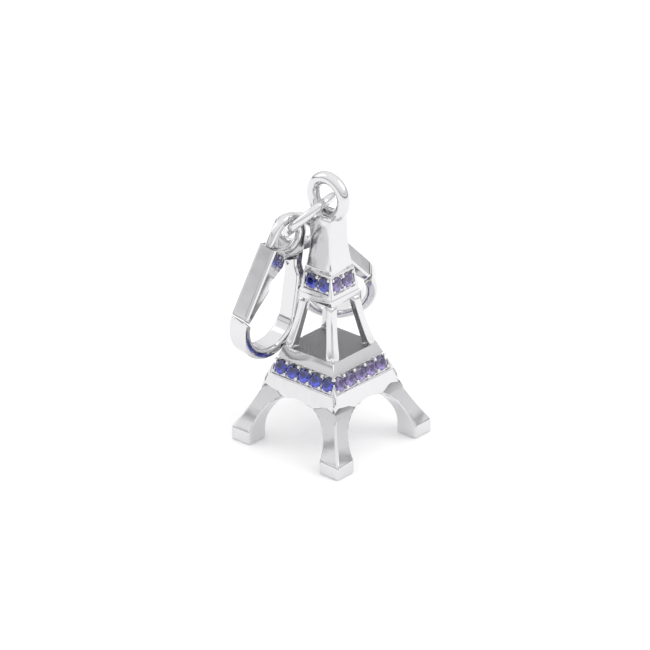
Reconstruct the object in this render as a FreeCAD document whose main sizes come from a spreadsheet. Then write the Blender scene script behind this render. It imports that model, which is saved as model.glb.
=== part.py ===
"""Tower charm keychain: a cast four-legged tower with stone-set bands, a jump ring and two clasps.

Millimetres, +Z up.  The origin is on the standing surface, under the middle of the tower.
The tower's four faces look along -Y, +X, +Y and -X; faces are numbered in that order.
"""
import FreeCAD, Part
import math
import os
import Sketcher
from FreeCAD import Placement, Rotation, Vector

doc = FreeCAD.newDocument("TowerKeychain")

# ---------------------------------------------------------------- driving dimensions

SIZES = {
    # tower silhouette: half widths and the heights they stand at
    "foot_half": 11.10,
    "foot_height": 2.20,
    "ankle_half": 10.92,
    "ankle_height": 2.45,
    "leg_sweep_radius": 41.0,
    "skirt_half": 7.42,
    "skirt_height": 9.75,
    "skirt_sag": 0.85,
    "skirt_proud": 0.12,
    "band_half": 6.98,
    "band_height": 11.30,
    "sill_half": 5.13,
    "sill_height": 15.75,
    "collar_half": 3.36,
    "collar_height": 24.10,
    "ledge_half": 3.24,
    "ledge_height": 25.15,
    "spire_foot_half": 2.70,
    "spire_foot_height": 28.95,
    "spire_waist_half": 2.12,
    "spire_waist_height": 33.90,
    "spire_sweep_radius": 21.0,
    "spire_top_half": 2.00,
    "spire_top_height": 37.85,
    # arches between the legs
    "arch_half": 7.20,
    "arch_spring_height": 1.85,
    # open storey
    "window_foot_half": 3.45,
    "window_head_half": 1.87,
    "strut_waist_height": 19.60,
    "strut_waist_half": 4.06,
    "window_waist_half": 2.72,
    # satin floor
    "floor_half": 5.00,
    "floor_depth": 0.40,
    "floor_notch": 1.66,
    # stones
    "stone_radius": 1.17,
    "stone_table_radius": 0.66,
    "stone_crown": 0.34,
    "stone_girdle": 0.08,
    "stone_pavilion": 0.88,
    "lower_pitch": 2.41,
    "upper_pitch": 2.46,
    "lower_row_height": 12.75,
    "upper_row_height": 27.15,
    "channel_depth": 0.32,
    "channel_margin": 0.10,
    "seat_gap": 0.02,
    # bail and jump ring
    "bail_radius": 3.07,
    "bail_wire": 1.00,
    "bail_height": 40.50,
    "ring_radius": 4.40,
    "ring_wire": 0.70,
    "ring_slit_angle": 0.9,
    # clasp
    "eye_radius": 3.75,
    "eye_hole": 2.20,
    "hook_radius": 6.40,
    "hook_band": 1.80,
    "eye_to_hook": 13.60,
    "clasp_width": 3.40,
    "eye_width": 1.40,
    "shoulder_top": 4.10,
    "shoulder_foot": 6.80,
    "bar_foot": 3.75,
    "pivot_across": 2.40,
    "pivot_down": 2.90,
    "knuckle_radius": 1.10,
    "pin_radius": 0.35,
    "pin_hole": 0.40,
    "gate_top": 1.60,
    "gate_wall": 0.75,
    "gate_slot_width": 1.64,
    "gate_slot_foot": 11.0,
    "seam_outer": 13.20,
    "seam_inner": 14.10,
    "seam_gap": 0.14,
    "limb_notch": 3.20,
    "spring_radius": 0.55,
    "spring_wire": 0.10,
    "clasp_edge": 0.58,
    "eye_edge": 0.62,
}

sheet = doc.addObject("Spreadsheet::Sheet", "Sizes")
for row, (alias, value) in enumerate(SIZES.items(), start=1):
    sheet.set(f"A{row}", alias)
    sheet.set(f"B{row}", str(value))
    sheet.setAlias(f"B{row}", alias)
doc.recompute()

FRONT, RIGHT, BACK, LEFT = range(4)
FACE_NAMES = ("front", "right", "back", "left")
THROUGH = 60.0  # long enough to cut through the whole object

subparts = []


def size(expression):
    """Value of an expression over the sheet's aliases, such as 'foot_half - 1'."""
    return float(sheet.evalExpression(expression))


def bound(expression):
    """The same expression as another object has to write it."""
    words = []
    word = ""
    for letter in expression + " ":
        if letter.isalnum() or letter == "_":
            word += letter
            continue
        words.append(f"Sizes.{word}" if word in SIZES else word)
        words.append(letter)
        word = ""
    return "".join(words).strip()


def keep(thing, label):
    """Marks a finished object as a sub-part."""
    thing.Label = label
    subparts.append(thing)
    return thing


# ---------------------------------------------------------------- sketching

def origin_plane(body, role):
    return next(f for f in body.Origin.OriginFeatures if f.Role == role)


def pin_point(sketch, element, end, point):
    """Fixes one end of a sketch element at a point whose coordinates are expressions."""
    for kind, expression in zip(("DistanceX", "DistanceY"), point):
        value = size(expression)
        if abs(value) < 1e-9:
            axis = -2 if kind == "DistanceX" else -1
            sketch.addConstraint(Sketcher.Constraint("PointOnObject", element, end, axis))
            continue
        index = sketch.addConstraint(Sketcher.Constraint(kind, -1, 1, element, end, value))
        sketch.setExpression(f"Constraints[{index}]", bound(expression))


def bent_edge(start, finish, radius):
    """Arc from start to finish: a positive radius turns left, a negative one turns right."""
    chord = finish - start
    rise = math.sqrt(max(radius * radius - chord.Length ** 2 / 4, 0.0))
    side = Vector(-chord.y, chord.x, 0).normalize()
    middle = (start + finish) / 2
    centre = middle + side * (rise if radius > 0 else -rise)
    first, last = (start, finish) if radius > 0 else (finish, start)
    angles = [math.atan2(p.y - centre.y, p.x - centre.x) for p in (first, last)]
    circle = Part.Circle(centre, Vector(0, 0, 1), abs(radius))
    return Part.ArcOfCircle(circle, angles[0], angles[1])


def outline(sketch, corners):
    """Closed outline.  Each corner is (x, y) or (x, y, radius of the arc that leaves it)."""
    spots = [Vector(size(c[0]), size(c[1]), 0) for c in corners]
    first = sketch.GeometryCount
    ends = []
    for index, corner in enumerate(corners):
        start, finish = spots[index], spots[(index + 1) % len(spots)]
        if len(corner) == 2:
            sketch.addGeometry(Part.LineSegment(start, finish), False)
            ends.append((1, 2))
            continue
        radius = size(corner[2])
        sketch.addGeometry(bent_edge(start, finish, radius), False)
        ends.append((1, 2) if radius > 0 else (2, 1))
    count = len(corners)
    for index in range(count):
        after = (index + 1) % count
        sketch.addConstraint(Sketcher.Constraint(
            "Coincident", first + index, ends[index][1], first + after, ends[after][0]))
    for index, corner in enumerate(corners):
        pin_point(sketch, first + index, ends[index][0], corner[:2])
        if len(corner) == 3:
            radius = abs(size(corner[2]))
            mark = sketch.addConstraint(Sketcher.Constraint("Radius", first + index, radius))
            sketch.setExpression(f"Constraints[{mark}]", f"abs({bound(corner[2])})")


def add_circle(sketch, centre, radius):
    spot = Vector(size(centre[0]), size(centre[1]), 0)
    index = sketch.addGeometry(Part.Circle(spot, Vector(0, 0, 1), size(radius)), False)
    pin_point(sketch, index, 3, centre)
    mark = sketch.addConstraint(Sketcher.Constraint("Radius", index, size(radius)))
    sketch.setExpression(f"Constraints[{mark}]", bound(radius))


def new_sketch(body, name, role="XY_Plane", lift=None):
    sketch = body.newObject("Sketcher::SketchObject", name)
    sketch.AttachmentSupport = (origin_plane(body, role), "")
    sketch.MapMode = "FlatFace"
    if lift is not None:
        sketch.AttachmentOffset = Placement(Vector(0, 0, size(lift)), Rotation())
        sketch.setExpression(".AttachmentOffset.Base.z", bound(lift))
    return sketch


def new_body(name):
    return doc.addObject("PartDesign::Body", name)


def pad(body, sketch, length, both_ways=False):
    feature = body.newObject("PartDesign::Pad", sketch.Name + "_pad")
    feature.Profile = sketch
    feature.setExpression("Length", bound(length))
    if both_ways:
        feature.Midplane = True
    return feature


def pocket(body, sketch, length, both_ways=False, backwards=False):
    feature = body.newObject("PartDesign::Pocket", sketch.Name + "_pocket")
    feature.Profile = sketch
    feature.setExpression("Length", bound(length))
    feature.Midplane = both_ways
    feature.Reversed = backwards
    return feature


def cut(name, base, tool):
    result = doc.addObject("Part::Cut", name)
    result.Base = base
    result.Tool = tool
    return result


def common(name, base, tool):
    result = doc.addObject("Part::Common", name)
    result.Base = base
    result.Tool = tool
    return result


def fuse(name, shapes):
    result = doc.addObject("Part::MultiFuse", name)
    result.Shapes = shapes
    return result


# ---------------------------------------------------------------- tower helpers

def mirrored_corners(right_side):
    """Outline from its right-hand corners, bottom to top; the left side mirrors them.

    A corner's third value bends the edge up to the next corner.
    """
    left_side = []
    for index in range(len(right_side) - 1, -1, -1):
        corner = right_side[index]
        bend = right_side[index - 1][2:] if index > 0 else ()
        left_side.append((f"-({corner[0]})", corner[1], *bend))
    top = right_side[-1][:2]
    return right_side[:-1] + [top] + left_side


def bar(name, corners, quarter_turn):
    """Profile in the upright plane, padded level through the tower."""
    body = new_body(name)
    sketch = new_sketch(body, name + "_outline", "XZ_Plane")
    outline(sketch, corners)
    pad(body, sketch, "3 * foot_half", both_ways=True)
    body.Placement = Placement(Vector(), Rotation(Vector(0, 0, 1), 90 * quarter_turn))
    return body


def four_sided(name, right_side):
    """Solid of square plan whose four sides all follow one silhouette."""
    corners = mirrored_corners(right_side)
    return common(name, bar(name + "_along", corners, 0), bar(name + "_across", corners, 1))


def face_placement(face, half, height, tilt):
    """Frame on a sloping face: X level along it, Y up the slope, Z straight out of it."""
    turn = Rotation(Vector(0, 0, 1), 90 * face)
    lean = Rotation(Vector(1, 0, 0), 90 - tilt)
    return Placement(turn.multVec(Vector(0, -half, height)), turn * lean)


def slope(low_half, low_height, high_half, high_height):
    """Lean from upright, in degrees, of the straight face between two levels."""
    run = size(low_half) - size(high_half)
    return math.degrees(math.atan2(run, size(high_height) - size(low_height)))


def half_at(height, low_half, low_height, high_half, high_height):
    share = (height - size(low_height)) / (size(high_height) - size(low_height))
    return size(low_half) + share * (size(high_half) - size(low_half))


# ---------------------------------------------------------------- legs

def leg_block():
    return four_sided("leg_block", [
        ("foot_half", "0"),
        ("foot_half", "foot_height"),
        ("ankle_half", "ankle_height", "-leg_sweep_radius"),
        ("skirt_half - skirt_proud", "skirt_height"),
        ("band_half - skirt_proud", "band_height"),
    ])


def skirt_plate(face):
    """Raised plate on one face of the skirt; its lower edge sags over the arch."""
    low = ("skirt_half", "skirt_height")
    high = ("band_half", "band_height")
    tilt = slope(*low, *high)
    rise = "hypot(band_height - skirt_height; skirt_half - band_half)"
    drop = "-skirt_sag"
    body = new_body(f"skirt_plate_{FACE_NAMES[face]}")
    sketch = new_sketch(body, body.Name + "_outline")
    edge = "(skirt_half + skirt_proud / 4)"
    outline(sketch, [
        (f"-{edge}", "0", "(pow(skirt_half; 2) + pow(skirt_sag; 2)) / (2 * skirt_sag)"),
        (edge, "0"),
        ("(band_half + skirt_proud / 4)", rise),
        ("-(band_half + skirt_proud / 4)", rise),
    ])
    pad(body, sketch, "4 * skirt_proud", both_ways=False).Reversed = True
    body.Placement = face_placement(face, size(low[0]), size(low[1]), tilt)
    assert size(drop) < 0
    return body


def arch_tunnel(quarter_turn):
    """Round-headed tunnel between the legs, straight through the base."""
    return bar(f"arch_tunnel_{quarter_turn}", [
        ("-arch_half", "-1"),
        ("arch_half", "-1"),
        ("arch_half", "arch_spring_height", "arch_half"),
        ("0", "arch_spring_height + arch_half", "arch_half"),
        ("-arch_half", "arch_spring_height"),
    ], quarter_turn)


def build_leg_base():
    cast = fuse("leg_casting", [leg_block()] + [skirt_plate(face) for face in range(4)])
    tunnels = fuse("arch_tunnels", [arch_tunnel(0), arch_tunnel(1)])
    return keep(cut("leg_base_cut", cast, tunnels), "leg_base")


# ---------------------------------------------------------------- stones and their bands

def row_cutter(name, count, pitch, placement):
    """Channel for a row of stones, with a conical seat bored under each stone."""
    body = new_body(name)
    length = f"{pitch} * {count - 1} + 2 * (stone_radius + channel_margin)"
    channel = new_sketch(body, name + "_channel", lift="-channel_depth")
    half_high = "(stone_radius + 2 * channel_margin)"
    outline(channel, [
        (f"-({length}) / 2", f"-{half_high}"),
        (f"({length}) / 2", f"-{half_high}"),
        (f"({length}) / 2", half_high),
        (f"-({length}) / 2", half_high),
    ])
    pad(body, channel, "channel_depth + 1")
    seat = new_sketch(body, name + "_seat", "XZ_Plane")
    start = f"-{pitch} * {count - 1} / 2"
    outline(seat, [
        (start, "-channel_depth + 0.1"),
        (start, "-(channel_depth + stone_pavilion + 2 * seat_gap)"),
        (f"{start} + stone_radius + seat_gap", "-channel_depth"),
        (f"{start} + stone_radius + seat_gap", "-channel_depth + 0.1"),
    ])
    bore = body.newObject("PartDesign::Revolution", name + "_bore")
    bore.Profile = seat
    bore.ReferenceAxis = (seat, ["Edge1"])
    row_pattern(body, bore, count, pitch, channel)
    body.Placement = placement
    return body


def row_pattern(body, feature, count, pitch, level_sketch):
    pattern = body.newObject("PartDesign::LinearPattern", feature.Name + "_row")
    pattern.Originals = [feature]
    pattern.Direction = (level_sketch, ["H_Axis"])
    pattern.setExpression("Length", bound(f"{pitch} * {count - 1}"))
    pattern.Occurrences = count
    body.Tip = pattern
    return pattern


def stone_row(name, count, pitch, placement):
    """Row of round brilliant stones, girdle on the channel floor and table up."""
    body = new_body(name)
    body.AllowCompound = True
    start = f"-{pitch} * {count - 1} / 2"
    floor = "-channel_depth"
    profile = new_sketch(body, name + "_profile", "XZ_Plane")
    outline(profile, [
        (start, f"{floor} + stone_girdle + stone_crown"),
        (start, f"{floor} - stone_pavilion"),
        (f"{start} + stone_radius", floor),
        (f"{start} + stone_radius", f"{floor} + stone_girdle"),
        (f"{start} + stone_table_radius", f"{floor} + stone_girdle + stone_crown"),
    ])
    stone = body.newObject("PartDesign::Revolution", name + "_stone")
    stone.Profile = profile
    stone.ReferenceAxis = (profile, ["Edge1"])
    level = new_sketch(body, name + "_level")
    row_pattern(body, stone, count, pitch, level)
    body.Placement = placement
    return keep(body, name)


def row_places(low, high, row_height):
    height = size(row_height)
    return [face_placement(face, half_at(height, *low, *high), height, slope(*low, *high))
            for face in range(4)]


def build_lower_band():
    """Stone-set band over the skirt, with the recess for the satin floor in its top."""
    low, high = ("band_half", "band_height"), ("sill_half", "sill_height")
    block = four_sided("lower_block", [low, high])
    places = row_places(low, high, "lower_row_height")
    cutters = [row_cutter(f"lower_channel_{FACE_NAMES[face]}", 5, "lower_pitch", places[face])
               for face in range(4)]
    recess = floor_shape("floor_recess")
    keep(cut("lower_band_cut", block, fuse("lower_tools", cutters + [recess])), "lower_band")
    for face in range(4):
        stone_row(f"lower_stones_{FACE_NAMES[face]}", 5, "lower_pitch", places[face])


def build_upper_band():
    """Collar under the spire, with two stones on each face."""
    low, high = ("ledge_half", "ledge_height"), ("spire_foot_half", "spire_foot_height")
    block = four_sided("upper_block", [
        ("collar_half", "collar_height"),
        ("ledge_half + 0.06", "ledge_height - 0.1"),
        low,
        high,
    ])
    places = row_places(low, high, "upper_row_height")
    cutters = [row_cutter(f"upper_channel_{FACE_NAMES[face]}", 2, "upper_pitch", places[face])
               for face in range(4)]
    keep(cut("upper_band_cut", block, fuse("upper_tools", cutters)), "upper_band")
    for face in range(4):
        stone_row(f"upper_stones_{FACE_NAMES[face]}", 2, "upper_pitch", places[face])


# ---------------------------------------------------------------- satin floor and struts

def floor_shape(name):
    """Square sheet with its corners notched round the feet of the struts."""
    body = new_body(name)
    sketch = new_sketch(body, name + "_outline", lift="sill_height - floor_depth")
    inner = "(floor_half - floor_notch)"
    outline(sketch, [
        (f"-{inner}", "-floor_half"), (inner, "-floor_half"),
        (inner, f"-{inner}"), ("floor_half", f"-{inner}"),
        ("floor_half", inner), (inner, inner),
        (inner, "floor_half"), (f"-{inner}", "floor_half"),
        (f"-{inner}", inner), ("-floor_half", inner),
        ("-floor_half", f"-{inner}"), (f"-{inner}", f"-{inner}"),
    ])
    pad(body, sketch, "floor_depth")
    return body


def strut(name, quarter_turn):
    """Leaning corner post of square section, lofted through its foot, waist and head."""
    body = new_body(name)
    levels = [
        ("sill_height", "window_foot_half", "sill_half"),
        ("strut_waist_height", "window_waist_half", "strut_waist_half"),
        ("collar_height", "window_head_half", "collar_half - 0.04"),
    ]
    sections = []
    for index, (height, inner, outer) in enumerate(levels):
        section = new_sketch(body, f"{name}_level_{index}", lift=height)
        outline(section, [(inner, f"-({outer})"), (outer, f"-({outer})"),
                          (outer, f"-{inner}"), (inner, f"-{inner}")])
        sections.append(section)
    loft = body.newObject("PartDesign::AdditiveLoft", name + "_loft")
    loft.Profile = sections[0]
    loft.Sections = sections[1:]
    body.Placement = Placement(Vector(), Rotation(Vector(0, 0, 1), 90 * quarter_turn))
    return keep(body, name)


def build_open_storey():
    keep(floor_shape("floor_plate_sheet"), "floor_plate")
    for turn, corner in enumerate(("front_right", "back_right", "back_left", "front_left")):
        strut(f"strut_{corner}", turn)


# ---------------------------------------------------------------- spire and bail

def build_spire():
    keep(four_sided("spire_block", [
        ("spire_foot_half", "spire_foot_height", "-spire_sweep_radius"),
        ("spire_waist_half", "spire_waist_height"),
        ("spire_top_half + 0.02", "spire_top_height - 0.25"),
        ("spire_top_half - 0.18", "spire_top_height"),
    ]), "spire")


def build_bail():
    """Thick round loop cast on top of the spire."""
    loop = doc.addObject("Part::Torus", "bail_loop")
    loop.setExpression("Radius1", bound("bail_radius"))
    loop.setExpression("Radius2", bound("bail_wire"))
    loop.Placement = Placement(Vector(0, 0, size("bail_height")), Rotation(Vector(1, 0, 0), 90))
    under = doc.addObject("Part::Box", "bail_trim")
    for side in ("Length", "Width", "Height"):
        under.setExpression(side, bound("4 * bail_radius"))
    reach = 2 * size("bail_radius")
    under.Placement = Placement(Vector(-reach, -reach, size("spire_top_height") - 2 * reach),
                                Rotation())
    keep(cut("bail_cut", loop, under), "bail")


# ---------------------------------------------------------------- jump ring

# The ring slopes down to the left, edge-on to a viewer who looks at the front right corner.
RING_CENTRE = Vector(-3.75, 0, 36.55)
RING_NORMAL = Vector(-0.681, -0.154, 0.712).normalize()
RING_DOWN = Vector(-0.723, 0, -0.691).normalize()   # towards the ring's lowest point


def ring_frame():
    """Ring axes: its X runs up the slope, its Y level across, its Z is the ring's axis."""
    return Rotation(RING_DOWN * -1, Vector(0, 1, 0), RING_NORMAL, "ZXY")


def build_jump_ring():
    body = new_body("jump_ring_wire")
    sketch = new_sketch(body, "jump_ring_section", "XZ_Plane")
    add_circle(sketch, ("ring_radius", "0"), "ring_wire")
    wire = body.newObject("PartDesign::Revolution", "jump_ring_turn")
    wire.Profile = sketch
    wire.ReferenceAxis = (sketch, ["V_Axis"])
    wire.setExpression("Angle", bound("360 - ring_slit_angle"))
    slit_turn = Rotation(Vector(0, 0, 1), 60)
    body.Placement = Placement(RING_CENTRE, ring_frame() * slit_turn)
    keep(body, "jump_ring")


# ---------------------------------------------------------------- clasps

# Clasp frame: origin at the centre of the eye, X from the gate to the spine, Y from the hook
# up to the eye, Z across the band.
TAPER = "asin((hook_radius - eye_radius) / eye_to_hook)"


def side_point(radius_eye, radius_hook, share, side):
    """Point on the straight side that joins an eye circle to a hook circle."""
    top = (f"{radius_eye} * cos({TAPER})", f"{radius_eye} * sin({TAPER})")
    foot = (f"{radius_hook} * cos({TAPER})", f"{radius_hook} * sin({TAPER}) - eye_to_hook")
    return (f"{side} * ({top[0]} + ({foot[0]} - {top[0]}) * {share})",
            f"{top[1]} + ({foot[1]} - ({top[1]})) * {share}")


def clasp_outline(body):
    """Egg shape: a small circle round the eye and a large one round the hook."""
    sketch = new_sketch(body, body.Name + "_egg")
    right_top = side_point("eye_radius", "hook_radius", 0, 1)
    right_foot = side_point("eye_radius", "hook_radius", 1, 1)
    left_top = side_point("eye_radius", "hook_radius", 0, -1)
    left_foot = side_point("eye_radius", "hook_radius", 1, -1)
    outline(sketch, [
        (*right_top, "eye_radius"),
        left_top,
        (*left_foot, "hook_radius"),
        ("0", "-(eye_to_hook + hook_radius)", "hook_radius"),
        right_foot,
    ])
    return sketch


def gate_opening(body):
    """Inside of the hook, open on the gate's side from the knuckle to the hook's tip."""
    sketch = new_sketch(body, body.Name + "_opening")
    inner_eye, inner_hook = "(eye_radius - hook_band)", "(hook_radius - hook_band)"
    foot = side_point(inner_eye, inner_hook, 1, 1)
    head = side_point(inner_eye, inner_hook, 0.31, 1)
    fall = "(seam_inner - seam_outer) / hook_band"
    far = "hook_radius + 1"
    outline(sketch, [
        (f"-({far})", f"-(seam_outer - {fall})"),
        (f"-sqrt(pow({inner_hook}; 2) - pow(seam_inner - eye_to_hook; 2))", "-seam_inner",
         inner_hook),
        ("0", f"-(eye_to_hook + {inner_hook})", inner_hook),
        foot,
        (head[0], "-bar_foot"),
        ("-pivot_across + 0.4", "-bar_foot"),
        ("-pivot_across", "-(pivot_down + knuckle_radius)", "-knuckle_radius"),
        ("-(pivot_across + knuckle_radius)", "-pivot_down"),
        ("-limb_notch", "-(gate_top - 0.15)"),
        (f"-({far})", "-(gate_top - 0.15)"),
    ])
    return sketch


def shoulders(body):
    """Side view: the band is narrow round the eye and swells to full width below it."""
    sketch = new_sketch(body, body.Name + "_shoulders", "YZ_Plane")
    past = "eye_radius + 1"
    wide = "clasp_width / 2"
    slim = "eye_width / 2"
    bend = "(pow(shoulder_foot - shoulder_top; 2) + pow((clasp_width - eye_width) / 2; 2))"
    arc = f"0.55 * {bend} / (clasp_width - eye_width)"
    middle = ("-(shoulder_top + shoulder_foot) / 2", "(clasp_width + eye_width) / 4")
    for side, turn in (("", 1), ("-", -1)):
        corners = [
            (past, f"{side}({slim})"),
            (past, f"{side}({wide} + 1)"),
            ("-shoulder_foot", f"{side}({wide} + 1)"),
            ("-shoulder_foot", f"{side}({wide})", f"{-turn} * ({arc})"),
            (middle[0], f"{side}({middle[1]})", f"{turn} * ({arc})"),
            ("-shoulder_top", f"{side}({slim})"),
        ]
        outline(sketch, corners)
    return sketch


def round_edges(body, name, feature, radius, wanted):
    """Rounds those edges of a feature that the test accepts."""
    doc.recompute()
    names = [f"Edge{index}" for index, edge in enumerate(feature.Shape.Edges, start=1)
             if wanted(edge)]
    fillet = body.newObject("PartDesign::Fillet", f"{body.Name}_{name}")
    fillet.Base = (feature, names)
    fillet.setExpression("Radius", bound(radius))
    return fillet


def clasp_body(label, placement):
    """Eye, crossbar, knuckle, spine and hook in one casting."""
    body = new_body(label + "_casting")
    pad(body, clasp_outline(body), "clasp_width", both_ways=True)
    pocket(body, gate_opening(body), "2 * clasp_width", both_ways=True)
    eye = new_sketch(body, label + "_eye")
    add_circle(eye, ("0", "0"), "eye_hole")
    pocket(body, eye, "2 * clasp_width", both_ways=True)
    sides = pocket(body, shoulders(body), "4 * hook_radius", both_ways=True)
    rim = size("clasp_width") / 2
    slim = size("eye_width") / 2

    def on_hook_rim(edge):
        box = edge.BoundBox
        low = box.YMax < -size("shoulder_foot") + 0.01
        return low and abs(box.ZMax - box.ZMin) < 0.01 and abs(abs(box.ZMax) - rim) < 0.01

    def on_eye_hole(edge):
        box = edge.BoundBox
        level = abs(box.ZMax - box.ZMin) < 0.01 and abs(abs(box.ZMax) - slim) < 0.01
        return level and edge.Curve.TypeId == "Part::GeomCircle" and box.XLength < 5 \
            and abs(edge.Curve.Radius - size("eye_hole")) < 0.01

    hook = round_edges(body, "hook_rounding", sides, "clasp_edge", on_hook_rim)
    round_edges(body, "eye_rounding", hook, "eye_edge", on_eye_hole)
    coil_room = new_sketch(body, label + "_coil_room", lift="0.1")
    add_circle(coil_room, ("-pivot_across", "-pivot_down"), "knuckle_radius + 0.1")
    pocket(body, coil_room, "clasp_width", backwards=True)
    pin_hole = new_sketch(body, label + "_pin_hole")
    add_circle(pin_hole, ("-pivot_across", "-pivot_down"), "pin_radius")
    pocket(body, pin_hole, "2 * clasp_width", both_ways=True)
    body.Placement = placement
    return keep(body, label)


def clasp_gate(label, placement):
    """Hollow gate: an outer wall with two cheeks that straddle the knuckle."""
    body = new_body(label + "_shell")
    sketch = new_sketch(body, label + "_outline")
    line_top = side_point("eye_radius", "hook_radius", 0.178, -1)
    line_foot = side_point("eye_radius", "hook_radius", 1, -1)
    fall = "(seam_inner - seam_outer) / hook_band"
    cheek = "(knuckle_radius + 0.15)"
    tip_across = "-(hook_radius - 1.35)"
    outline(sketch, [
        line_top,
        (*line_foot, "hook_radius"),
        (f"-sqrt(pow(hook_radius; 2) - pow(seam_outer - seam_gap - eye_to_hook; 2))",
         "-(seam_outer - seam_gap)"),
        (tip_across, f"-(seam_outer - seam_gap + 1.35 * {fall})"),
        (f"{tip_across} + 1.1", "-(seam_outer - 1.9)"),
        (f"{tip_across} + 2.4", "-(seam_outer - 4.4)"),
        (f"{tip_across} + 1.9", "-(seam_outer - 6.2)"),
        (f"-pivot_across + {cheek}", f"-(pivot_down + 1.5)"),
        (f"-pivot_across + {cheek}", "-pivot_down", cheek),
        ("-pivot_across", f"-(pivot_down - {cheek})"),
    ])
    wall = pad(body, sketch, "clasp_width", both_ways=True)
    rim = size("clasp_width") / 2

    def outer_rim(edge):
        box = edge.BoundBox
        middle = edge.CenterOfMass
        flat = abs(box.ZMax - box.ZMin) < 0.01 and abs(abs(box.ZMax) - rim) < 0.01
        return flat and middle.x < -4.2 and middle.x + 0.2 * middle.y > -9.5 and edge.Length > 0.7

    round_edges(body, "rounding", wall, "clasp_edge", outer_rim)
    slot = new_sketch(body, label + "_slot", "XY_Plane")
    inset = "gate_wall / cos(" + TAPER + ")"
    foot_share = "((gate_slot_foot + eye_radius * sin(" + TAPER + ")) / eye_to_hook)"
    foot_side = f"-(eye_radius + (hook_radius - eye_radius) * {foot_share}) + {inset}"
    outline(slot, [
        (f"-(eye_radius * cos({TAPER})) + {inset}", "1"),
        (foot_side, "-gate_slot_foot"),
        ("2", "-gate_slot_foot"),
        ("2", "1"),
    ])
    pocket(body, slot, "gate_slot_width", both_ways=True)
    hole = new_sketch(body, label + "_hole")
    add_circle(hole, ("-pivot_across", "-pivot_down"), "pin_hole")
    pocket(body, hole, "2 * clasp_width", both_ways=True)
    body.Placement = placement
    return keep(body, label)


def clasp_pin(label, placement):
    """Rivet that the gate turns on, pressed into the knuckle."""
    pin = doc.addObject("Part::Cylinder", label + "_rod")
    pin.setExpression("Radius", bound("pin_radius"))
    pin.setExpression("Height", bound("clasp_width"))
    start = Vector(-size("pivot_across"), -size("pivot_down"), -size("clasp_width") / 2)
    pin.Placement = placement * Placement(start, Rotation())
    return keep(pin, label)


def clasp_spring(label, placement):
    """Three closed coils round the rivet and a leg that lies along the gate's inner wall."""
    pieces = []
    pivot = Vector(-size("pivot_across"), -size("pivot_down"), 0)
    for turn in range(3):
        coil = doc.addObject("Part::Torus", f"{label}_coil_{turn}")
        coil.setExpression("Radius1", bound("spring_radius"))
        coil.setExpression("Radius2", bound("spring_wire"))
        lift = 0.25 + turn * 1.8 * size("spring_wire")
        coil.Placement = placement * Placement(pivot + Vector(0, 0, lift), Rotation())
        pieces.append(coil)
    leg = doc.addObject("Part::Cylinder", f"{label}_leg")
    leg.setExpression("Radius", bound("spring_wire"))
    leg.Height = 5.6
    start = pivot + Vector(-size("spring_radius"), 0, 0.25 + 1.8 * size("spring_wire"))
    down = Rotation(Vector(0, 0, 1), Vector(-0.27, -1, 0))
    leg.Placement = placement * Placement(start, down)
    pieces.append(leg)
    return keep(fuse(label + "_wire", pieces), label)


# Centre of each clasp's eye, the direction across it from gate to spine, and the direction up it.
CLASPS = {
    "side_clasp": (Vector(-5.105, -3.816, 33.881), Vector(0.0183, 0.9641, -0.2647),
                   Vector(0.1173, 0.2608, 0.9583)),
    "rear_clasp": (Vector(-7.430, 0.707, 32.584), Vector(-0.786, -0.4589, -0.4142),
                   Vector(-0.1186, -0.5457, 0.8296)),
}


def build_clasp(name):
    eye_centre, across, up = CLASPS[name]
    placement = Placement(eye_centre, Rotation(across, up, across.cross(up), "YXZ"))
    clasp_body(f"{name}_body", placement)
    clasp_gate(f"{name}_gate", placement)
    clasp_pin(f"{name}_hinge_pin", placement)
    clasp_spring(f"{name}_gate_spring", placement)


# ---------------------------------------------------------------- build, check, write

build_leg_base()
build_lower_band()
build_open_storey()
build_upper_band()
build_spire()
build_bail()
build_jump_ring()
for clasp_name in CLASPS:
    build_clasp(clasp_name)
doc.recompute()

for thing in doc.Objects:
    if "Invalid" in thing.State or "Error" in thing.State:
        raise RuntimeError(f"{thing.Name} failed: {thing.State}")
for thing in subparts:
    if thing.Shape.isNull() or not thing.Shape.isValid():
        raise RuntimeError(f"{thing.Label} has no valid shape")

os.makedirs("parts", exist_ok=True)
for thing in subparts:
    thing.Shape.exportStep(f"parts/{thing.Label}.step")
    print(f"{thing.Label:28s} solids {len(thing.Shape.Solids):2d}  volume {thing.Shape.Volume:8.2f}")
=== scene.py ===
"""Tower charm keychain in polished silver, with blue and violet stones, a jump ring and two clasps."""
import math
import random

import bmesh
import bpy
from mathutils import Matrix, Vector


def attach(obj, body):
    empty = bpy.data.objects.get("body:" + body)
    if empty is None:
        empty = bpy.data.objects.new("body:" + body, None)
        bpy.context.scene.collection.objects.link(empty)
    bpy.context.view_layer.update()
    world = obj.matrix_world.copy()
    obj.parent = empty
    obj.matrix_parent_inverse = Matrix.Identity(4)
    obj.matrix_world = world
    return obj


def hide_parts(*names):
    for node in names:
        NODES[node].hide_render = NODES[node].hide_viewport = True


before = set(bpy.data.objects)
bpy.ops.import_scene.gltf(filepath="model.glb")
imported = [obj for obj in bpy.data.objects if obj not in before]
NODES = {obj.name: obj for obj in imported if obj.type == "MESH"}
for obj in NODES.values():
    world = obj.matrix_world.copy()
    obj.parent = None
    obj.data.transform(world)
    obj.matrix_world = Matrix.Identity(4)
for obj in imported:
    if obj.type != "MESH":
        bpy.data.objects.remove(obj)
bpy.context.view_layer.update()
MM = 0.001
random.seed(7)

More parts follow.
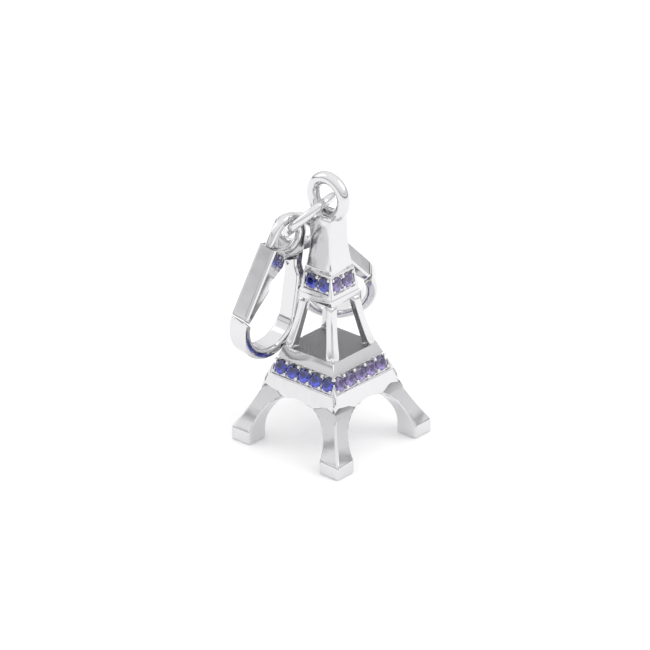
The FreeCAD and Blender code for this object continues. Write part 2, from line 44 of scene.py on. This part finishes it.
# Castings: mesh clean-up and the finer rolled edges, in metres, degrees or millimetres as named.
WELD_REACH_M = 2e-6
LEVEL_REACH_M = 2e-5
CRISP_ANGLE = math.radians(26)
FLAT_ANGLE = math.radians(0.6)
FINE_ROLL = 0.05
CLASP_ROLL = 0.16


# ---------------------------------------------------------------- materials

def new_material(name):
    material = bpy.data.materials.new(name)
    material.use_nodes = True
    nodes = material.node_tree.nodes
    return material, nodes, material.node_tree.links, nodes["Principled BSDF"]


def noise(nodes, links, scale, detail, roughness=0.5):
    texture = nodes.new("ShaderNodeTexNoise")
    texture.inputs["Scale"].default_value = scale
    texture.inputs["Detail"].default_value = detail
    texture.inputs["Roughness"].default_value = roughness
    place = nodes.new("ShaderNodeTexCoord")
    links.new(place.outputs["Object"], texture.inputs["Vector"])
    return texture


def spread(nodes, links, source, low, high):
    """Maps a 0 to 1 value to low to high."""
    scaled = nodes.new("ShaderNodeMapRange")
    scaled.inputs["To Min"].default_value = low
    scaled.inputs["To Max"].default_value = high
    links.new(source, scaled.inputs["Value"])
    return scaled.outputs["Result"]


def bump(nodes, links, source, shader, strength, distance):
    node = nodes.new("ShaderNodeBump")
    node.inputs["Strength"].default_value = strength
    node.inputs["Distance"].default_value = distance
    links.new(source, node.inputs["Height"])
    links.new(node.outputs["Normal"], shader.inputs["Normal"])


def polished_silver():
    """Rhodium-bright silver: a mirror with faint polishing haze and a soft hand-finished wave."""
    material, nodes, links, shader = new_material("polished_silver")
    shader.inputs["Metallic"].default_value = 1.0
    shader.inputs["Base Color"].default_value = (0.72, 0.715, 0.72, 1)
    haze = noise(nodes, links, 900, 4)
    links.new(spread(nodes, links, haze.outputs["Fac"], 0.05, 0.15), shader.inputs["Roughness"])
    wave = noise(nodes, links, 140, 2)
    bump(nodes, links, wave.outputs["Fac"], shader, 0.25, 0.00012)
    return material


def satin_floor():
    """Dark satin finish with a fine sandblasted grain."""
    material, nodes, links, shader = new_material("satin_silver")
    shader.inputs["Metallic"].default_value = 1.0
    grain = noise(nodes, links, 5200, 3, 0.75)
    tint = nodes.new("ShaderNodeValToRGB")
    tint.color_ramp.elements[0].position = 0.36
    tint.color_ramp.elements[1].position = 0.64
    tint.color_ramp.elements[0].color = (0.08, 0.08, 0.085, 1)
    tint.color_ramp.elements[1].color = (0.52, 0.52, 0.53, 1)
    links.new(grain.outputs["Fac"], tint.inputs["Fac"])
    links.new(tint.outputs["Color"], shader.inputs["Base Color"])
    shader.inputs["Roughness"].default_value = 0.5
    bump(nodes, links, grain.outputs["Fac"], shader, 0.6, 0.00004)
    return material


def stone_material(name, dark, bright):
    """Cut stone: each facet is painted lighter or darker by its facet attribute, painted highlights
    and painted shade standing in for the light the facets return.
    """
    material, nodes, links, shader = new_material(name)
    painted_facet_light = nodes.new("ShaderNodeAttribute")
    painted_facet_light.attribute_name = "painted_facet_light"
    ramp = nodes.new("ShaderNodeValToRGB")
    ramp.color_ramp.elements[0].color = (*dark, 1)
    ramp.color_ramp.elements[1].color = (*bright, 1)
    middle = ramp.color_ramp.elements.new(0.55)
    middle.color = tuple(0.6 * a + 0.4 * b for a, b in zip((*dark, 1), (*bright, 1)))
    links.new(painted_facet_light.outputs["Fac"], ramp.inputs["Fac"])
    links.new(ramp.outputs["Color"], shader.inputs["Base Color"])
    # Painted glow: the painted facet colour is also emitted faintly, though the stone is no lamp.
    links.new(ramp.outputs["Color"], shader.inputs["Emission Color"])
    shader.inputs["Emission Strength"].default_value = 0.05
    shader.inputs["Roughness"].default_value = 0.04
    shader.inputs["IOR"].default_value = 1.77
    shader.inputs["Coat Weight"].default_value = 0.6
    shader.inputs["Coat Roughness"].default_value = 0.02
    return material


def spring_steel():
    material, nodes, links, shader = new_material("spring_steel")
    shader.inputs["Metallic"].default_value = 1.0
    shader.inputs["Base Color"].default_value = (0.62, 0.62, 0.64, 1)
    grain = noise(nodes, links, 4000, 2)
    links.new(spread(nodes, links, grain.outputs["Fac"], 0.22, 0.36), shader.inputs["Roughness"])
    return material


SILVER = polished_silver()
SATIN = satin_floor()
# Each stone runs from a painted shaded tone to a painted lit tone of its colour.
BLUE = stone_material("blue_stone", (0.001, 0.001, 0.018), (0.04, 0.075, 0.80))
VIOLET = stone_material("violet_stone", (0.022, 0.012, 0.060), (0.34, 0.26, 0.62))
SPRING = spring_steel()


def dress(obj, material):
    obj.data.materials.clear()
    obj.data.materials.append(material)


# ---------------------------------------------------------------- piece helpers

def link_mesh(name, mesh, material, body):
    obj = bpy.data.objects.new(name, mesh)
    bpy.context.scene.collection.objects.link(obj)
    dress(obj, material)
    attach(obj, body)
    return obj


def soften(mesh, angle=32):
    """Smooth shading that breaks only at edges sharper than the angle."""
    for polygon in mesh.polygons:
        polygon.use_smooth = True
    mesh.set_sharp_from_angle(angle=math.radians(angle))


def flatten_highlights(obj):
    modifier = obj.modifiers.new("flat_face_normals", "WEIGHTED_NORMAL")
    modifier.keep_sharp = True
    modifier.weight = 80


def on_level(edge, levels):
    return any(all(abs(v.co.z - level * MM) < LEVEL_REACH_M for v in edge.verts)
               for level in levels)


def roll_edges(work, width, joints_at, segments, wanted=lambda edge: True, clamp=False):
    """Bevels the crisp edges that the test accepts, except where a casting meets its neighbour."""
    edges = [e for e in work.edges if len(e.link_faces) == 2
             and e.calc_face_angle(0) > CRISP_ANGLE
             and not on_level(e, joints_at) and wanted(e)]
    bmesh.ops.bevel(work, geom=edges, offset=width * MM, segments=segments, profile=0.5,
                    affect="EDGES", clamp_overlap=clamp, loop_slide=True)


def cast_piece(node, body, width, joints_at=(), segments=3, split_at=None):
    """Copy of a casting with its edges rolled over: broadly below split_at, finely above it."""
    mesh = NODES[node].data.copy()
    mesh.name = node + "_cast"
    work = bmesh.new()
    work.from_mesh(mesh)
    bmesh.ops.remove_doubles(work, verts=work.verts, dist=WELD_REACH_M)
    if not joints_at:
        roll_edges(work, width, joints_at, segments, clamp=True)
    else:
        bmesh.ops.dissolve_limit(work, angle_limit=FLAT_ANGLE, verts=work.verts,
                                 edges=work.edges)
        if split_at is None:
            roll_edges(work, width, joints_at, segments)
        else:
            def low(edge):
                return max(v.co.z for v in edge.verts) < split_at * MM

            def high(edge):
                return min(v.co.z for v in edge.verts) > split_at * MM

            roll_edges(work, FINE_ROLL, joints_at, 2, high, clamp=True)
            roll_edges(work, width, joints_at, segments, low)
        bmesh.ops.triangulate(work, faces=[f for f in work.faces if len(f.verts) > 4])
    work.to_mesh(mesh)
    work.free()
    soften(mesh, 40)
    obj = link_mesh(node + "_cast", mesh, SILVER, body)
    flatten_highlights(obj)
    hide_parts(node)
    return obj


def torus_mesh(name, major, minor, around=144, across=36, start=0.0, turn=360.0):
    """Round wire bent round Z; a turn under 360 leaves a slit with closed ends."""
    work = bmesh.new()
    rings = []
    closed = turn >= 360
    steps = around if closed else around + 1
    for i in range(steps):
        angle = math.radians(start + turn * i / around)
        spin = Matrix.Rotation(angle, 4, "Z")
        ring = []
        for j in range(across):
            roll = math.tau * j / across
            spot = Vector((major + minor * math.cos(roll), 0, minor * math.sin(roll)))
            ring.append(work.verts.new(spin @ spot))
        rings.append(ring)
    for i in range(around):
        here, there = rings[i], rings[(i + 1) % steps]
        for j in range(across):
            k = (j + 1) % across
            work.faces.new((here[j], there[j], there[k], here[k]))
    if not closed:
        work.faces.new(rings[0])
        work.faces.new(list(reversed(rings[-1])))
    bmesh.ops.recalc_face_normals(work, faces=work.faces)
    mesh = bpy.data.meshes.new(name)
    work.to_mesh(mesh)
    work.free()
    soften(mesh, 50)
    return mesh


# ---------------------------------------------------------------- tower castings

# Heights where one casting is soldered to the next, which stay crisp.
LEVELS = (11.30, 15.75, 24.10, 28.95)
cast_piece("leg_base", "tower", 0.36, LEVELS, segments=5, split_at=8.75)
cast_piece("lower_band", "tower", 0.10, LEVELS)
cast_piece("upper_band", "tower", 0.10, LEVELS)
for corner in ("front_right", "back_right", "back_left", "front_left"):
    cast_piece("strut_" + corner, "tower", 0.22, LEVELS, segments=4)
cast_piece("spire", "tower", 0.28, LEVELS, segments=5)

# ---------------------------------------------------------------- bail and ring

BAIL_CENTRE = Vector((0, 0, 40.50)) * MM
BAIL_RADIUS = 3.07
BAIL_WIRE_RADIUS = 1.0
bail_mesh = torus_mesh("bail_loop", BAIL_RADIUS * MM, BAIL_WIRE_RADIUS * MM)
bail_mesh.transform(Matrix.Translation(BAIL_CENTRE) @ Matrix.Rotation(math.radians(90), 4, "X"))
bail = link_mesh("bail_loop", bail_mesh, SILVER, "tower")
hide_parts("bail")

RING_CENTRE = Vector((-3.75, 0, 36.55)) * MM
RING_AXIS = Vector((-0.681, -0.154, 0.712)).normalized()
RING_RADIUS = 4.40
RING_WIRE_RADIUS = 0.70
SEAM_AT = 60
SEAM_WIDTH = 0.9
ring_up = Vector((0.723, 0, 0.691))
ring_across = RING_AXIS.cross(ring_up).normalized()
ring_up = ring_across.cross(RING_AXIS)
ring_turn = Matrix((ring_up, ring_across, RING_AXIS)).transposed().to_4x4()
ring_mesh = torus_mesh("ring_wire", RING_RADIUS * MM, RING_WIRE_RADIUS * MM, start=SEAM_AT,
                       turn=360 - SEAM_WIDTH)
ring_mesh.transform(Matrix.Translation(RING_CENTRE) @ ring_turn)
ring = link_mesh("ring_wire", ring_mesh, SILVER, "ring")
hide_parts("jump_ring")

# ---------------------------------------------------------------- stones and bead settings

STONE = {"girdle": 1.17, "table": 0.66, "crown": 0.34, "rim": 0.08, "depth": 0.88, "sink": 0.32,
         "star_drop": 0.10, "star_share": 1.28, "inner_share": 0.46, "inner_dip": 0.002,
         "heart_dip": 0.004}
BEAD = {"radius": 0.31, "end_radius": 0.27, "past_end": 1.02, "reach": 0.93, "sink": 0.06,
        "squash": 0.95}


def face_matrix(face, half, height, tilt):
    """Frame on a sloping face: X level along it, Y up the slope, Z straight out."""
    turn = Matrix.Rotation(math.radians(90 * face), 4, "Z")
    place = Matrix.Translation(turn @ (Vector((0, -half, height)) * MM))
    return place @ turn @ Matrix.Rotation(math.radians(90 - tilt), 4, "X")


def slope(low, high):
    return math.degrees(math.atan2(low[0] - high[0], high[1] - low[1]))


def half_at(height, low, high):
    share = (height - low[1]) / (high[1] - low[1])
    return low[0] + share * (high[0] - low[0])


def add_stone(work, painted_facet_light, centre, spin):
    """Round brilliant: table with a star cut, kite and girdle facets, and a pointed pavilion."""
    top = STONE["crown"] + STONE["rim"] - STONE["sink"]
    levels = {"table": top, "star": top - STONE["star_drop"],
              "girdle_top": STONE["rim"] - STONE["sink"], "girdle": -STONE["sink"],
              "culet": -STONE["sink"] - STONE["depth"]}

    def ring_of(radius, height, count, shift):
        spots = []
        for i in range(count):
            angle = spin + math.tau * (i + shift) / count
            spot = Vector((centre + radius * math.cos(angle), radius * math.sin(angle), height))
            spots.append(work.verts.new(spot * MM))
        return spots

    table = ring_of(STONE["table"], levels["table"], 8, 0)
    star = ring_of(STONE["table"] * STONE["star_share"], levels["star"], 8, 0.5)
    rim = ring_of(STONE["girdle"], levels["girdle_top"], 16, 0)
    base = ring_of(STONE["girdle"], levels["girdle"], 16, 0)
    culet = work.verts.new(Vector((centre, 0, levels["culet"])) * MM)
    heart = work.verts.new(Vector((centre, 0, levels["table"] - STONE["heart_dip"])) * MM)
    inner = ring_of(STONE["table"] * STONE["inner_share"],
                    levels["table"] - STONE["inner_dip"], 8, 0.5)

    def facet(verts, low, high):
        """Painted light: facets on the lower side of the stone are painted brighter than the upper
        ones, standing in for the light they return.
        """
        face = work.faces.new(verts)
        lean = -face.calc_center_median().y / (STONE["girdle"] * MM)
        face[painted_facet_light] = min(1.0, max(0.0, random.uniform(low, high) + 0.45 * lean))

    # Painted light per facet: a dark painted centre on the table and bright painted glints on the star
    # facets, each with a random spread.
    for i in range(8):
        j = (i + 1) % 8
        facet((heart, inner[i], inner[j]), 0.0, 0.15)
        facet((table[j], inner[j], inner[i]), *((0.3, 0.6) if i % 2 else (0.0, 0.25)))
        facet((table[i], table[j], inner[i]), 0.05, 0.5)
        facet((table[i], star[i], table[j]), 0.35, 1.0)
        facet((star[i], table[j], star[j], rim[(2 * j) % 16]), 0.2, 0.75)
        facet((star[i], rim[2 * i], rim[2 * i + 1]), 0.1, 0.6)
        facet((star[i], rim[2 * i + 1], rim[(2 * i + 2) % 16]), 0.1, 0.9)
    for i in range(16):
        j = (i + 1) % 16
        facet((rim[i], base[i], base[j], rim[j]), 0.1, 0.4)
        facet((base[i], culet, base[j]), 0.1, 0.6)


def stone_row(node, places, frame_of_face, material):
    work = bmesh.new()
    painted_facet_light = work.faces.layers.float.new("painted_facet_light")
    for centre in places:
        add_stone(work, painted_facet_light, centre, random.uniform(0, math.tau))
    bmesh.ops.recalc_face_normals(work, faces=work.faces)
    mesh = bpy.data.meshes.new(node + "_cut")
    work.to_mesh(mesh)
    work.free()
    mesh.transform(frame_of_face)
    obj = link_mesh(node + "_cut", mesh, material, "tower")
    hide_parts(node)


def bead_row(name, places, frame_of_face):
    """Small domed beads raised on the channel's edges between neighbouring stones."""
    work = bmesh.new()
    for along, up, radius in places:
        spot = Matrix.Translation(Vector((along, up * BEAD["reach"], -BEAD["sink"])) * MM)
        squash = Matrix.Diagonal((1, 1, BEAD["squash"], 1))
        bmesh.ops.create_icosphere(work, subdivisions=3, radius=radius * MM, matrix=spot @ squash)
    mesh = bpy.data.meshes.new(name)
    work.to_mesh(mesh)
    work.free()
    soften(mesh, 60)
    mesh.transform(frame_of_face)
    link_mesh(name, mesh, SILVER, "tower")


ROWS = {
    "lower": {"count": 5, "pitch": 2.41, "height": 12.75, "low": (6.98, 11.30),
              "high": (5.13, 15.75)},
    "upper": {"count": 2, "pitch": 2.46, "height": 27.15, "low": (3.24, 25.15),
              "high": (2.70, 28.95)},
}
for row, facts in ROWS.items():
    tilt = slope(facts["low"], facts["high"])
    half = half_at(facts["height"], facts["low"], facts["high"])
    first = -facts["pitch"] * (facts["count"] - 1) / 2
    centres = [first + facts["pitch"] * i for i in range(facts["count"])]
    gaps = [centre + facts["pitch"] / 2 for centre in centres[:-1]]
    ends = [centres[0] - BEAD["past_end"], centres[-1] + BEAD["past_end"]]
    beads = [(gap, side, BEAD["radius"]) for gap in gaps for side in (-1, 1)]
    beads += [(end, side, BEAD["end_radius"]) for end in ends for side in (-1, 1)]
    for face, side_name in enumerate(("front", "right", "back", "left")):
        place = face_matrix(face, half, facts["height"], tilt)
        blue = side_name in ("front", "back")
        stone_row(f"{row}_stones_{side_name}", centres, place, BLUE if blue else VIOLET)
        bead_row(f"{row}_beads_{side_name}", beads, place)

# ---------------------------------------------------------------- clasps and small nodes

for clasp in ("side_clasp", "rear_clasp"):
    cast_piece(clasp + "_body", clasp, CLASP_ROLL)
    cast_piece(clasp + "_gate", clasp + "_gate", CLASP_ROLL)
    dress(NODES[clasp + "_hinge_pin"], SILVER)
    dress(NODES[clasp + "_gate_spring"], SPRING)
dress(NODES["floor_plate"], SATIN)

# ---------------------------------------------------------------- stage, lights, camera

# Grey level of the surroundings by height: 0 is straight down and 1 is straight up.
AIR_BANDS = ((0.03, 0.35), (0.06, 0.06), (0.10, 0.84), (0.27, 0.92), (0.295, 0.42),
             (0.31, 0.42), (0.335, 0.98), (0.6, 1.05))
SENSOR_WIDTH = 36
LENS_OVER_SENSOR = 72 / 13
VIEWPOINT = Vector((333.61, -371.91, 258.48))


def stage_floor():
    mesh = bpy.data.meshes.new("studio_floor")
    reach = 2.0
    mesh.from_pydata([(-reach, -reach, 0), (reach, -reach, 0), (reach, reach, 0),
                      (-reach, reach, 0)], [], [(0, 1, 2, 3)])
    floor = bpy.data.objects.new("studio_floor", mesh)
    bpy.context.scene.collection.objects.link(floor)
    material, nodes, links, shader = new_material("pale_paper")
    shader.inputs["Base Color"].default_value = (0.93, 0.93, 0.93, 1)
    shader.inputs["Roughness"].default_value = 0.85
    shader.inputs["Specular IOR Level"].default_value = 0.1
    shader.inputs["Emission Color"].default_value = (1, 1, 1, 1)
    shader.inputs["Emission Strength"].default_value = 0.10
    dress(floor, material)


def softbox(name, spot, aim, size, power):
    data = bpy.data.lights.new(name, "AREA")
    data.shape = "RECTANGLE"
    data.size, data.size_y = size
    data.energy = power
    lamp = bpy.data.objects.new(name, data)
    bpy.context.scene.collection.objects.link(lamp)
    lamp.location = spot
    lamp.rotation_euler = (Vector(aim) - Vector(spot)).to_track_quat("-Z", "Y").to_euler()


def studio():
    stage_floor()
    middle = (0, 0, 0.02)
    softbox("key_above_right", (0.30, 0.20, 0.42), middle, (0.32, 0.32), 0.50)
    softbox("fill_left", (-0.45, -0.20, 0.32), middle, (0.30, 0.40), 0.26)
    world = bpy.data.worlds.new("studio_air")
    bpy.context.scene.world = world
    world.use_nodes = True
    nodes, links = world.node_tree.nodes, world.node_tree.links
    background = nodes["Background"]
    place = nodes.new("ShaderNodeTexCoord")
    split = nodes.new("ShaderNodeSeparateXYZ")
    links.new(place.outputs["Generated"], split.inputs["Vector"])
    ramp = nodes.new("ShaderNodeValToRGB")
    stops = ramp.color_ramp.elements
    stops[0].position, stops[0].color = 0.0, (0.86, 0.86, 0.87, 1)
    stops[1].position, stops[1].color = 1.0, (1.15, 1.15, 1.15, 1)
    for position, level in AIR_BANDS:
        stop = stops.new(position)
        stop.color = (level, level, level * 1.02, 1)
    links.new(split.outputs["Z"], ramp.inputs["Fac"])
    links.new(ramp.outputs["Color"], background.inputs["Color"])
    background.inputs["Strength"].default_value = 1.0


def camera():
    right = Vector((0.7474, 0.6643, -0.0127))
    up = Vector((-0.2786, 0.3307, 0.9017))
    back = Vector((0.6032, -0.6703, 0.4322))
    data = bpy.data.cameras.new("viewpoint")
    data.sensor_width = SENSOR_WIDTH
    data.lens = SENSOR_WIDTH * LENS_OVER_SENSOR
    data.clip_start, data.clip_end = 0.01, 20
    eye = bpy.data.objects.new("viewpoint", data)
    bpy.context.scene.collection.objects.link(eye)
    turn = Matrix((right, up, back)).transposed().to_4x4()
    eye.matrix_world = Matrix.Translation(VIEWPOINT * MM) @ turn
    bpy.context.scene.camera = eye


studio()
camera()
bpy.context.scene.view_settings.view_transform = "Standard"
